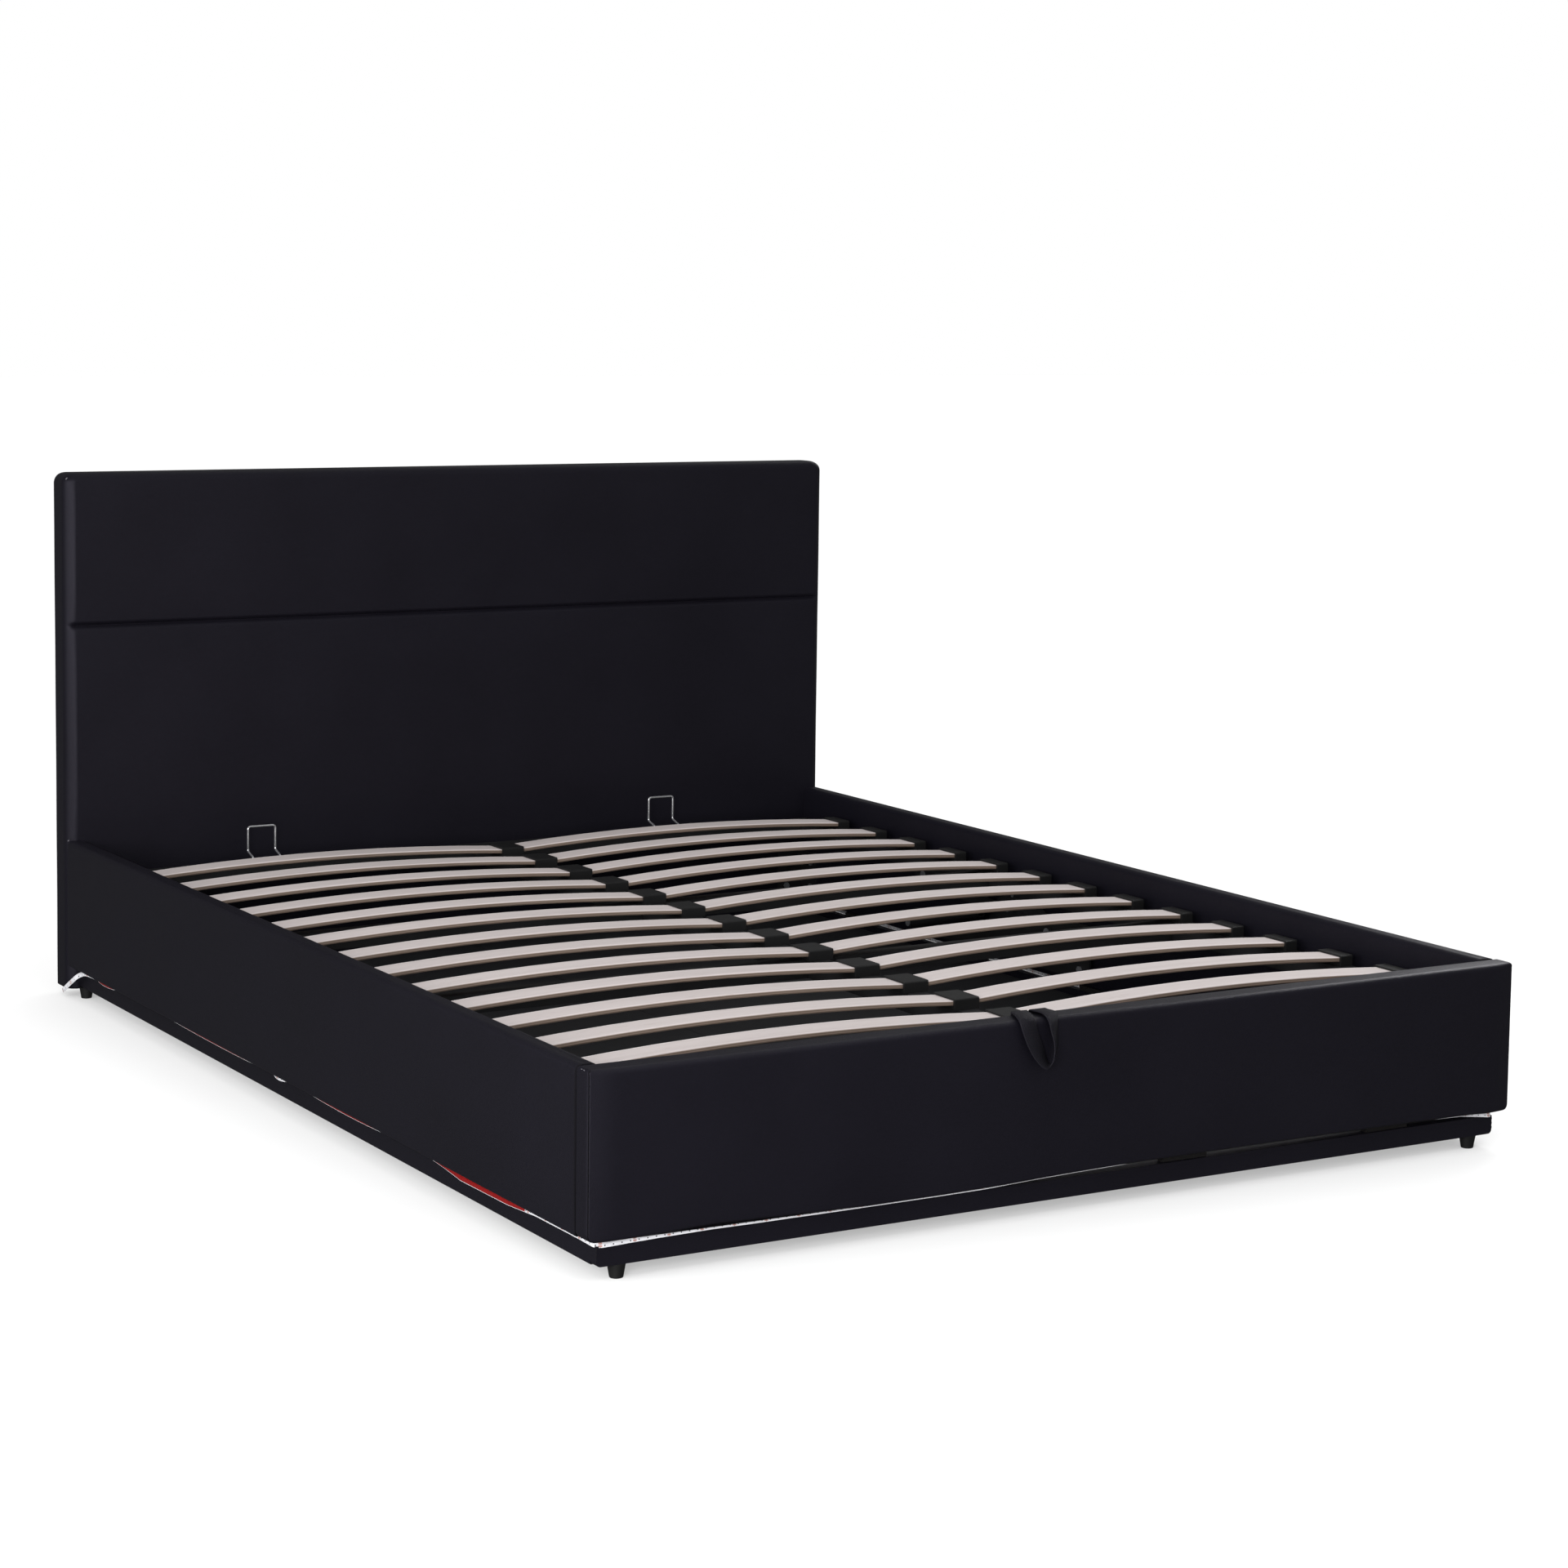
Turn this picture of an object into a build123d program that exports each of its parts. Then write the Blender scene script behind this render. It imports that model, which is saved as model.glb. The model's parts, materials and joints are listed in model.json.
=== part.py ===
from build123d import *
import math
import os

os.makedirs("parts", exist_ok=True)

# Gas-lift storage bed in black upholstery, queen size, millimetres.
# X runs across the bed, Y from the foot to the headboard, Z is up, the floor is Z = 0.

# Overall sizes
mattress_width = 1530
mattress_length = 2030
rail_thickness = 35
foot_thickness = 42
headboard_thickness = 68
strap_reach = 16
rail_bottom = 58
rail_top = 290
headboard_bottom = 15
headboard_top = 960
headboard_seam = 683
bed_width = mattress_width + 2 * rail_thickness
bed_length = strap_reach + foot_thickness + mattress_length + headboard_thickness
half_width = bed_width / 2
inner_x = mattress_width / 2
foot_face_y = strap_reach - bed_length / 2
foot_inner_y = foot_face_y + foot_thickness
headboard_face_y = foot_inner_y + mattress_length
headboard_back_y = headboard_face_y + headboard_thickness

# Upholstery
padding = 7
soft_edge = 8
top_roll = 14
pad_crown = 4
channel_depth = 12
channel_half = 2
corner_round = 18
back_cloth = 1
board_recess = 6

# Plinth, feet, light strip and storage floor
plinth_bottom = 20.5
plinth_top = 49
plinth_inset = 20
plinth_thickness = 18
foot_top_radius = 13
foot_low_radius = 9.5
front_foot_x = half_width - 57
front_foot_y = foot_face_y + 33
back_foot_x = half_width - 30
back_foot_y = headboard_face_y - 10
spacer_length = 80
foot_spacers = 4
side_spacers = 5
beam_width = 40
beam_foot_radius = 15
beam_foot_height = 12
beam_feet_places = (-0.25, 0, 0.25)
rest_pad_inset = 145
rest_pad_width = 60
rest_pad_depth = 35
rest_pad_height = 38.8
rest_gap = 0.2
strip_width = 8
strip_thickness = 1.2
strip_bend = 10
batten = 30
batten_height = 9.5
floor_board = 6
plinth_outer_x = half_width - plinth_inset
plinth_inner_x = plinth_outer_x - plinth_thickness
plinth_face_y = foot_face_y + plinth_inset
plinth_back_y = plinth_face_y + plinth_thickness
floor_low = plinth_bottom + batten_height

# Lifting frame and slats
tube = 30
tube_wall = 1.5
head_tube = 40
frame_top = 234
frame_low = frame_top - tube
frame_side_gap = 20
frame_foot_gap = 10
frame_head_gap = 32
frame_x = inner_x - frame_side_gap
frame_foot_y = foot_inner_y + frame_foot_gap
frame_head_y = headboard_face_y - frame_head_gap
slat_rows = 13
first_slat_y = foot_face_y + 209
last_slat_y = headboard_face_y - 176
slat_pitch = (last_slat_y - first_slat_y) / (slat_rows - 1)
slat_width = 53
slat_thickness = 8
slat_bow = 14
slat_low = frame_top + 6
slat_inner_x = 10
slat_outer_x = frame_x - 9
cross_rows = (4, 8)
holder_half = 22
holder_width = 62
cap_length = 23

# Lift linkage, in the plane of each side rail: (Y, Z) of its pivots with the frame down
rear_face = 1.5
plate = 4
running_gap = 0.5
lift_y = headboard_face_y - 890.6
lift_z = 141.5


def pivot(along, above):
    """Pivot at a distance from the front arm's lower pivot."""
    return (lift_y + along, lift_z + above)


arm_base = pivot(0, 0)
arm_top = pivot(417.8, 42.1)
link_base = pivot(120.3, 50.2)
link_top = pivot(445.7, 65.3)
strut_base = pivot(438.6, -53.5)
strut_top = pivot(103.6, 31.5)
pin_radius = 5
strut_pin_radius = 4
pin_gap = 0.05
open_pivot_gap = 0.8
barrel_radius = 11
barrel_bore = 9.6
barrel_length = 235
rod_radius = 4
rod_length = 305
eye_radius = 9
eye_thickness = 12
link_outer = inner_x - rear_face
link_inner = link_outer - plate
base_outer = link_inner - running_gap
base_inner = base_outer - plate
arm_outer = base_inner - running_gap
arm_inner = arm_outer - plate
strut_x = arm_inner - running_gap - barrel_radius - 1

# Fastenings
bolt_radius = 4
bolt_head = 6.5
bolt_head_height = 4
bolt_depth = 14
bracket = 3
bracket_leg = 60


def block(x0, x1, y0, y1, z0, z1):
    """Box between two corners."""
    size = Box(abs(x1 - x0), abs(y1 - y0), abs(z1 - z0))
    return Pos((x0 + x1) / 2, (y0 + y1) / 2, (z0 + z1) / 2) * size


def rod_x(x0, x1, y, z, radius):
    """Round bar along X between x0 and x1."""
    bar = Cylinder(radius, abs(x1 - x0), rotation=(0, 90, 0))
    return Pos((x0 + x1) / 2, y, z) * bar


def prism_x(face_yz, x0, x1):
    """Slide a face drawn in the YZ plane along X."""
    return Pos(x0, 0, 0) * extrude(face_yz, x1 - x0, dir=(1, 0, 0))


def loop_face(points):
    """Face inside a closed run of straight lines."""
    return make_face(Polyline(*points, close=True))


def mirrored(shape):
    """Twin on the other side of the bed."""
    return mirror(shape, about=Plane.YZ)


def save(name, shapes):
    """Write one node, a single solid or a group of separate solids."""
    group = shapes if isinstance(shapes, list) else [shapes]
    solids = [solid for shape in group for solid in shape.solids()]
    node = solids[0] if len(solids) == 1 else Compound(children=solids)
    node.label = name
    export_step(node, f"parts/{name}.step")


def rounded_edges(shape, axis, radius, keep):
    """Round the edges along an axis whose middle point passes a test."""
    chosen = [edge for edge in shape.edges().filter_by(axis) if keep(edge.center())]
    return fillet(chosen, radius)


def hex_bolt_x(x_face, y, z, sign):
    """Hexagon bolt with its head on a face, driven along sign * X into the rail."""
    hexagon = extrude(Plane.YZ * RegularPolygon(bolt_head, 6), -sign * bolt_head_height)
    shank = rod_x(x_face, x_face + sign * bolt_depth, y, z, bolt_radius)
    return Pos(x_face, y, z) * hexagon + shank


def hex_bolt_y(x, y_face, z, sign):
    """Hexagon bolt with its head on a face, driven along sign * Y into a panel."""
    hexagon = extrude(Plane.XZ * RegularPolygon(bolt_head, 6), sign * bolt_head_height)
    shank = Cylinder(bolt_radius, bolt_depth, rotation=(90, 0, 0))
    return Pos(x, y_face, z) * hexagon + Pos(x, y_face + sign * bolt_depth / 2, z) * shank


# Corner brackets and the lift base plates are bolted to the panels, so their holes come first
bracket_low_foot = 90
bracket_low_head = 70
bracket_height = 90
bracket_rows = (20, 70)
corner_bolts = []
corner_brackets = []
panel_face_y = headboard_face_y + board_recess
for y_wall, toward, low in ((foot_inner_y, 1, bracket_low_foot), (panel_face_y, -1, bracket_low_head)):
    y_far = y_wall + toward * bracket_leg
    y_thin = y_wall + toward * bracket
    along = block(inner_x - bracket, inner_x, y_wall, y_far, low, low + bracket_height)
    across = block(inner_x - bracket_leg, inner_x, y_wall, y_thin, low, low + bracket_height)
    angle = along + across
    for rise in bracket_rows:
        side_bolt = hex_bolt_x(inner_x - bracket, y_wall + toward * 40, low + rise, 1)
        end_bolt = hex_bolt_y(inner_x - 40, y_thin, low + rise, -toward)
        corner_bolts += [side_bolt, end_bolt]
        angle = angle - side_bolt - end_bolt
    corner_brackets.append(angle)

base_bolt_points = [pivot(-100, -52), pivot(-100, 8), pivot(210, -54), pivot(350, -54)]
base_bolts = [hex_bolt_x(base_inner, y, z, 1) for y, z in base_bolt_points]
base_spacers = [
    rod_x(base_outer, inner_x, y, z, 9) - rod_x(base_outer, inner_x, y, z, bolt_radius)
    for y, z in base_bolt_points
]
right_bolts = corner_bolts + base_bolts
left_bolts = [mirrored(bolt) for bolt in right_bolts]


# Side rails: a board wrapped in a padded cover with softened edges
rail_end_y = panel_face_y
rail_skin = block(inner_x, half_width, foot_inner_y, rail_end_y, rail_bottom, rail_top)
rail_skin = rounded_edges(rail_skin, Axis.Y, soft_edge, lambda p: p.Z > rail_top - 1)
rail_skin = rounded_edges(rail_skin, Axis.Y, 4, lambda p: p.Z < rail_bottom + 1)
rail_board = block(
    inner_x + padding, half_width - padding, foot_inner_y + 2, rail_end_y - 2,
    rail_bottom + padding, rail_top - padding,
)
rail_cover = rail_skin - rail_board
for bolt in right_bolts:
    rail_cover = rail_cover - bolt
    rail_board = rail_board - bolt
save("rail_right_cover", rail_cover)
save("rail_right_board", rail_board)
save("rail_left_cover", mirrored(rail_cover))
save("rail_left_board", mirrored(rail_board))

# Foot panel: full width, its top edge rolled over thicker padding
foot_skin = block(-half_width, half_width, foot_face_y, foot_inner_y, rail_bottom, rail_top)
foot_skin = rounded_edges(
    foot_skin, Axis.X, top_roll, lambda p: p.Z > rail_top - 1 and p.Y < foot_face_y + 1
)
foot_skin = rounded_edges(
    foot_skin, Axis.X, soft_edge, lambda p: p.Z > rail_top - 1 and p.Y > foot_inner_y - 1
)
foot_skin = rounded_edges(foot_skin, Axis.X, 4, lambda p: p.Z < rail_bottom + 1)
foot_front = RectangleRounded(bed_width, rail_top - rail_bottom, 12)
foot_skin = foot_skin & extrude(
    Plane.XZ.offset(-foot_inner_y) * Pos(0, (rail_top + rail_bottom) / 2) * foot_front, foot_thickness
)
foot_board = block(
    -half_width + 10, half_width - 10, foot_face_y + 12, foot_inner_y - padding,
    rail_bottom + padding, rail_top - 12,
)
foot_cover = foot_skin - foot_board
for bolt in right_bolts + left_bolts:
    if bolt.center().Y < foot_inner_y + 2 * bolt_depth:
        foot_cover = foot_cover - bolt
        foot_board = foot_board - bolt
save("foot_cover", foot_cover)
save("foot_board", foot_board)

# Headboard: a board inside two padded covers that meet at one sewn channel
pad_back_y = headboard_back_y - back_cloth
edge_y = headboard_face_y + pad_crown
channel_y = headboard_face_y + channel_depth


def pad_profile(low, high, low_is_channel):
    """Side profile of one headboard pad: crowned front, rolled edges, flat back."""
    roll = corner_round if low_is_channel else 9
    foot_roll = 9 if low_is_channel else 4
    front_low = edge_y if low_is_channel else panel_face_y
    crown_low = low + foot_roll if low_is_channel else rail_top + 12
    turn = 1 - math.sqrt(0.5)
    low_y = channel_y if low_is_channel else panel_face_y + foot_roll
    high_y = edge_y + roll if low_is_channel else channel_y
    back_roll = 6 if low_is_channel else 0
    lines = [Line((pad_back_y, low), (low_y, low))]
    if low_is_channel:
        lines.append(ThreePointArc(
            (low_y, low),
            (front_low + (low_y - front_low) * turn, low + foot_roll * turn),
            (front_low, crown_low),
        ))
    else:
        lines.append(ThreePointArc(
            (low_y, low),
            (front_low + foot_roll * turn, low + foot_roll * turn),
            (front_low, low + foot_roll),
        ))
        lines.append(Line((front_low, low + foot_roll), (front_low, rail_top + 4)))
        lines.append(Line((front_low, rail_top + 4), (edge_y - 1, crown_low)))
    crown_start = front_low if low_is_channel else edge_y - 1
    lines.append(ThreePointArc(
        (crown_start, crown_low),
        (headboard_face_y, (crown_low + high - roll) / 2),
        (edge_y, high - roll),
    ))
    lines.append(ThreePointArc(
        (edge_y, high - roll),
        (edge_y + (high_y - edge_y) * turn, high - roll * turn),
        (high_y, high),
    ))
    if back_roll:
        lines.append(Line((high_y, high), (pad_back_y - back_roll, high)))
        lines.append(ThreePointArc(
            (pad_back_y - back_roll, high),
            (pad_back_y - back_roll * turn, high - back_roll * turn),
            (pad_back_y, high - back_roll),
        ))
        lines.append(Line((pad_back_y, high - back_roll), (pad_back_y, low)))
    else:
        lines.append(Line((high_y, high), (pad_back_y, high)))
        lines.append(Line((pad_back_y, high), (pad_back_y, low)))
    return Plane.YZ * make_face(lines)


headboard_plan = Pos(0, headboard_face_y + headboard_thickness) * RectangleRounded(
    bed_width, 2 * headboard_thickness, corner_round
)
plan_prism = Pos(0, 0, headboard_bottom) * extrude(headboard_plan, headboard_top - headboard_bottom)
headboard_height = headboard_top - headboard_bottom
front_shape = Pos(0, headboard_bottom) * RectangleRounded(bed_width, 2 * headboard_height, 20)
front_prism = extrude(Plane.XZ.offset(-headboard_back_y) * front_shape, headboard_thickness + 10)
headboard_board = block(
    -half_width + 28, half_width - 28, headboard_face_y + 30, headboard_face_y + 52,
    headboard_bottom + 15, headboard_top - 28,
)
upper_pad = prism_x(pad_profile(headboard_seam + channel_half, headboard_top, True), -half_width, half_width)
lower_pad = prism_x(pad_profile(headboard_bottom, headboard_seam - channel_half, False), -half_width, half_width)
upper_pad = (upper_pad & plan_prism & front_prism) - headboard_board
lower_pad = (lower_pad & plan_prism) - headboard_board
for bolt in right_bolts + left_bolts:
    if bolt.center().Y > panel_face_y - 2 * bolt_depth:
        lower_pad = lower_pad - bolt
save("headboard_upper_pad", upper_pad)
save("headboard_lower_pad", lower_pad)
save("headboard_board", headboard_board)
save("headboard_back_cloth", block(
    -half_width + 25, half_width - 25, pad_back_y, headboard_back_y,
    headboard_bottom + 20, headboard_top - 30,
))

# Corner brackets, lift base bolts and their spacers
save("corner_brackets", corner_brackets + [mirrored(shape) for shape in corner_brackets])
save("corner_bolts", corner_bolts + [mirrored(shape) for shape in corner_bolts])
save("lift_base_bolts", base_bolts + [mirrored(shape) for shape in base_bolts])
save("lift_base_spacers", base_spacers + [mirrored(shape) for shape in base_spacers])

# Plinth boards, set in under the rails
plinth_side = block(
    plinth_inner_x, plinth_outer_x, plinth_back_y, panel_face_y - 1, plinth_bottom, plinth_top
)
plinth_foot = block(
    -plinth_outer_x, plinth_outer_x, plinth_face_y, plinth_back_y, plinth_bottom, plinth_top
)
plinth_foot = rounded_edges(plinth_foot, Axis.Y, 7, lambda p: p.Z < plinth_bottom + 1)
plinth_side = rounded_edges(plinth_side, Axis.Y, 2, lambda p: p.X > plinth_outer_x - 1)
save("plinth_right", plinth_side)
save("plinth_left", mirrored(plinth_side))
save("plinth_foot", plinth_foot)
save("plinth_head", block(
    -plinth_inner_x, plinth_inner_x, panel_face_y - 1 - plinth_thickness, panel_face_y - 1,
    plinth_bottom, plinth_top,
))

# Spacer blocks carry the rails on the plinth and leave the slot for the light strip
spacers = []
spacer_pitch_y = mattress_length / side_spacers
spacer_pitch_x = mattress_width / foot_spacers
for place in range(side_spacers):
    y = foot_inner_y + (place + 0.5) * spacer_pitch_y
    right = block(
        plinth_inner_x + 4, plinth_outer_x - 6, y - spacer_length / 2, y + spacer_length / 2,
        plinth_top, rail_bottom,
    )
    spacers += [right, mirrored(right)]
for place in range(foot_spacers):
    x = (place - foot_spacers / 2 + 0.5) * spacer_pitch_x
    spacers.append(block(
        x - spacer_length / 2, x + spacer_length / 2, plinth_face_y + 6, plinth_back_y,
        plinth_top, rail_bottom,
    ))
save("plinth_spacers", spacers)

# Flexible light strip stood on the plinth edge along both sides and the foot
strip_x = plinth_outer_x - strip_thickness / 2
strip_y = plinth_face_y + strip_thickness / 2
strip_end_y = panel_face_y - 2
strip_path = FilletPolyline(
    (-strip_x, strip_end_y), (-strip_x, strip_y), (strip_x, strip_y), (strip_x, strip_end_y),
    radius=strip_bend,
)
strip_plan = trace(strip_path, strip_thickness)
save("light_strip", Pos(0, 0, plinth_top) * extrude(strip_plan, strip_width))

# Storage floor: battens inside the plinth, a centre beam and two boards
floor_front = plinth_back_y
floor_back = panel_face_y - 1 - plinth_thickness
side_batten = block(
    plinth_inner_x - batten, plinth_inner_x, floor_front, floor_back, plinth_bottom, floor_low
)
end_reach = plinth_inner_x - batten
battens = [side_batten, mirrored(side_batten)]
for y0 in (floor_front, floor_back - batten):
    battens.append(block(-end_reach, end_reach, y0, y0 + batten, plinth_bottom, floor_low))
save("floor_battens", battens)
save("floor_beam", block(
    -beam_width / 2, beam_width / 2, floor_front + batten, floor_back - batten,
    beam_foot_height, floor_low,
))
floor_half = block(0.5, plinth_inner_x, floor_front, floor_back, floor_low, floor_low + floor_board)
save("storage_floor_right", floor_half)
save("storage_floor_left", mirrored(floor_half))

# Tapered feet at the corners and plain pads under the centre beam
foot_form = Pos(0, 0, plinth_bottom / 2) * Cone(foot_low_radius, foot_top_radius, plinth_bottom)
foot_form = fillet(foot_form.edges().sort_by(Axis.Z)[0], 1.5)
feet = []
for side in (-1, 1):
    feet.append(Pos(side * front_foot_x, front_foot_y, 0) * foot_form)
    feet.append(Pos(side * back_foot_x, back_foot_y, 0) * foot_form)
save("feet", feet)
beam_foot = Pos(0, 0, beam_foot_height / 2) * Cylinder(beam_foot_radius, beam_foot_height)
save("beam_feet", [Pos(0, place * mattress_length, 0) * beam_foot for place in beam_feet_places])

# Rest pads that carry the foot end of the frame
rest_pads = []
for side in (-1, 1):
    x = side * (inner_x - rest_pad_inset)
    rest_pads.append(block(
        x - rest_pad_width / 2, x + rest_pad_width / 2, foot_inner_y, foot_inner_y + rest_pad_depth,
        frame_low - rest_gap - rest_pad_height, frame_low - rest_gap,
    ))
save("rest_pads", rest_pads)


# Steel lifting frame
def square_tube(x0, x1, y0, y1, along):
    """Square tube lying along one axis, open at both ends."""
    w = tube_wall
    outer = block(x0, x1, y0, y1, frame_low, frame_top)
    if along == "y":
        return outer - block(x0 + w, x1 - w, y0, y1, frame_low + w, frame_top - w)
    return outer - block(x0, x1, y0 + w, y1 - w, frame_low + w, frame_top - w)


side_tube = square_tube(frame_x - tube, frame_x, frame_foot_y, frame_head_y, "y")
cross_x = frame_x - tube
save("frame_side_right", side_tube)
save("frame_side_left", mirrored(side_tube))
save("frame_foot_tube", square_tube(-cross_x, cross_x, frame_foot_y, frame_foot_y + tube, "x"))
save("frame_head_tube", square_tube(-cross_x, cross_x, frame_head_y - head_tube, frame_head_y, "x"))
save("frame_centre_tube", square_tube(
    -tube / 2, tube / 2, frame_foot_y + tube, frame_head_y - head_tube, "y"
))
cross_tubes = []
for row in cross_rows:
    y = first_slat_y + row * slat_pitch
    right = square_tube(tube / 2, cross_x, y - tube / 2, y + tube / 2, "x")
    cross_tubes += [right, mirrored(right)]
save("frame_cross_tubes", cross_tubes)

# Bowed birch slats: a bent strip whose long edges are rounded
slat_mid_x = (slat_inner_x + slat_outer_x) / 2
slat_mid_z = slat_low + slat_thickness / 2
slat_curve = ThreePointArc(
    (slat_inner_x, 0, slat_mid_z), (slat_mid_x, 0, slat_mid_z + slat_bow), (slat_outer_x, 0, slat_mid_z)
)
slat_start = Plane(origin=slat_curve @ 0, x_dir=(0, 1, 0), z_dir=slat_curve % 0)
slat_blank = sweep(slat_start * Rectangle(slat_width, slat_thickness), path=slat_curve)
slat = sweep(slat_start * RectangleRounded(slat_width, slat_thickness, 2.5), path=slat_curve)
rows_y = [first_slat_y + row * slat_pitch for row in range(slat_rows)]
save("slats_right", [Pos(0, y, 0) * slat for y in rows_y])
save("slats_left", [Pos(0, y, 0) * mirrored(slat) for y in rows_y])

# Plastic pockets that hold the slats on the tubes
slat_pair = slat_blank + mirrored(slat_blank)
cap_high = slat_low + slat_thickness + 4
cap = block(
    frame_x - cap_length, frame_x, -holder_width / 2, holder_width / 2, frame_top, cap_high
)
cap = fillet(cap.edges().filter_by(Axis.X).group_by(Axis.Z)[-1], 3) - slat_blank
holder = block(
    -holder_half, holder_half, -holder_width / 2, holder_width / 2, frame_top, cap_high
)
holder = fillet(holder.edges().filter_by(Axis.X).group_by(Axis.Z)[-1], 3) - slat_pair
save("slat_caps_right", [Pos(0, y, 0) * cap for y in rows_y])
save("slat_caps_left", [Pos(0, y, 0) * mirrored(cap) for y in rows_y])
save("slat_holders", [Pos(0, y, 0) * holder for y in rows_y])

# Wire mattress retainers at the head end
wire_radius = 2
retainer_half = 27
retainer_high = rail_top + 10
retainer_places = (-0.288, 0.265)
retainer_y = frame_head_y - 10
retainer_toe = 26
retainer_knee = 8
retainers = []
for place in retainer_places:
    x = place * mattress_width
    a = x - retainer_half
    b = x + retainer_half
    toe_y = retainer_y - retainer_toe
    toe_z = frame_top + wire_radius + 10
    knee_z = toe_z + retainer_knee
    wire = FilletPolyline(
        (a, toe_y, frame_top), (a, toe_y, toe_z), (a, retainer_y, knee_z),
        (a, retainer_y, retainer_high), (b, retainer_y, retainer_high),
        (b, retainer_y, knee_z), (b, toe_y, toe_z), (b, toe_y, frame_top),
        radius=5,
    )
    start = Plane(origin=wire @ 0, z_dir=wire % 0)
    retainers.append(sweep(start * Circle(wire_radius), path=wire))
save("mattress_retainers", retainers)

# Pull strap: a loop of webbing from the foot tube over the foot panel
strap_width = 25
webbing = 2
strap_tip_z = rail_top - 74
strap_top_z = rail_top + 2.5
strap_gap = 5
leg_step = 9
tip_left = -90
left_leg_x = -126
right_leg_x = -79
strap_back_y = frame_foot_y
strap = None
strap_legs = (
    (left_leg_x, foot_face_y - strap_gap),
    (right_leg_x, foot_face_y - strap_gap - leg_step),
)
for left_x, front_y in strap_legs:
    right_x = left_x + strap_width
    back = block(left_x, right_x, strap_back_y - webbing, strap_back_y, frame_low + 4, strap_top_z + webbing)
    over = block(left_x, right_x, front_y - webbing, strap_back_y, strap_top_z, strap_top_z + webbing)
    hang = extrude(Plane.XZ.offset(-front_y) * loop_face((
        (left_x, strap_top_z + webbing), (right_x, strap_top_z + webbing),
        (tip_left + 22, strap_tip_z), (tip_left, strap_tip_z),
    )), webbing)
    leg = back + over + hang
    strap = leg if strap is None else strap + leg
strap_far_y = foot_face_y - strap_gap - leg_step - webbing
strap = strap + block(
    tip_left, tip_left + 22, strap_far_y, foot_face_y - strap_gap, strap_tip_z, strap_tip_z + webbing
)
save("pull_strap", strap)


# Lift linkage on one side
def bar_link(start, end, width, x0, x1, start_hole, end_hole):
    """Flat bar with round ends and a hole at each pivot."""
    reach = math.hypot(end[0] - start[0], end[1] - start[1])
    turn = math.degrees(math.atan2(end[1] - start[1], end[0] - start[0]))
    face = SlotCenterToCenter(reach, width)
    face = face - Pos(-reach / 2, 0) * Circle(start_hole) - Pos(reach / 2, 0) * Circle(end_hole)
    middle = ((start[0] + end[0]) / 2, (start[1] + end[1]) / 2)
    return prism_x(Plane.YZ * Pos(*middle) * Rot(0, 0, turn) * face, x0, x1)


def stud(x_root, x_tip, point, radius, head):
    """Pivot pin with a flat head at its tip."""
    sign = 1 if x_tip > x_root else -1
    shaft = rod_x(x_root, x_tip, point[0], point[1], radius)
    cap_disc = rod_x(x_tip, x_tip + sign * head[1], point[0], point[1], head[0])
    return shaft + cap_disc


pivot_hole = pin_radius + pin_gap

# Base plate bolted to the rail: a long foot with a raised horn for the rear link
plate_outline = loop_face((
    pivot(-129, -71), pivot(465, -71), pivot(465, -29), pivot(200, -13),
    pivot(143, 73), pivot(99, 73), pivot(11, 31), pivot(-129, 31),
))
base_plate = prism_x(Plane.YZ * fillet(plate_outline.vertices(), 12), base_inner, base_outer)
for bolt in base_bolts:
    base_plate = base_plate - bolt
for point, radius in ((arm_base, pin_radius), (link_base, pin_radius), (strut_base, strut_pin_radius)):
    base_plate = base_plate - rod_x(base_inner, base_outer, point[0], point[1], radius)
save("lift_base_right", base_plate)
save("lift_base_left", mirrored(base_plate))
eye_inner = strut_x - eye_thickness / 2
base_pins = [
    stud(base_outer, arm_inner - running_gap, arm_base, pin_radius, (8, 1.5)),
    stud(base_inner, link_outer + 0.2, link_base, pin_radius, (8, 0.8)),
    stud(base_outer, eye_inner - running_gap, strut_base, strut_pin_radius, (7, 2)),
]
save("lift_base_pins", base_pins + [mirrored(shape) for shape in base_pins])

# Long front arm with the horn that the gas strut pushes
arm_holes = (pivot_hole, pivot_hole)
front_arm = bar_link(arm_base, arm_top, 26, arm_inner, arm_outer, *arm_holes)
horn_face = loop_face((pivot(40, 2), pivot(174, 18), strut_top))
horn = prism_x(Plane.YZ * horn_face, arm_inner, arm_outer)
horn = horn + rod_x(arm_inner, arm_outer, strut_top[0], strut_top[1], 12)
front_arm = front_arm + horn - rod_x(arm_inner, arm_outer, strut_top[0], strut_top[1], strut_pin_radius)
save("lift_arm_right", front_arm)
save("lift_arm_left", mirrored(front_arm))
arm_pin = stud(arm_outer, eye_inner - running_gap, strut_top, strut_pin_radius, (7, 2))
save("strut_pin_right", arm_pin)
save("strut_pin_left", mirrored(arm_pin))

# Shorter rear link, whose frame pivot is the open one
rear_link = bar_link(
    link_base, link_top, 22, link_inner, link_outer, pivot_hole, pin_radius + open_pivot_gap
)
save("lift_link_right", rear_link)
save("lift_link_left", mirrored(rear_link))

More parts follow.
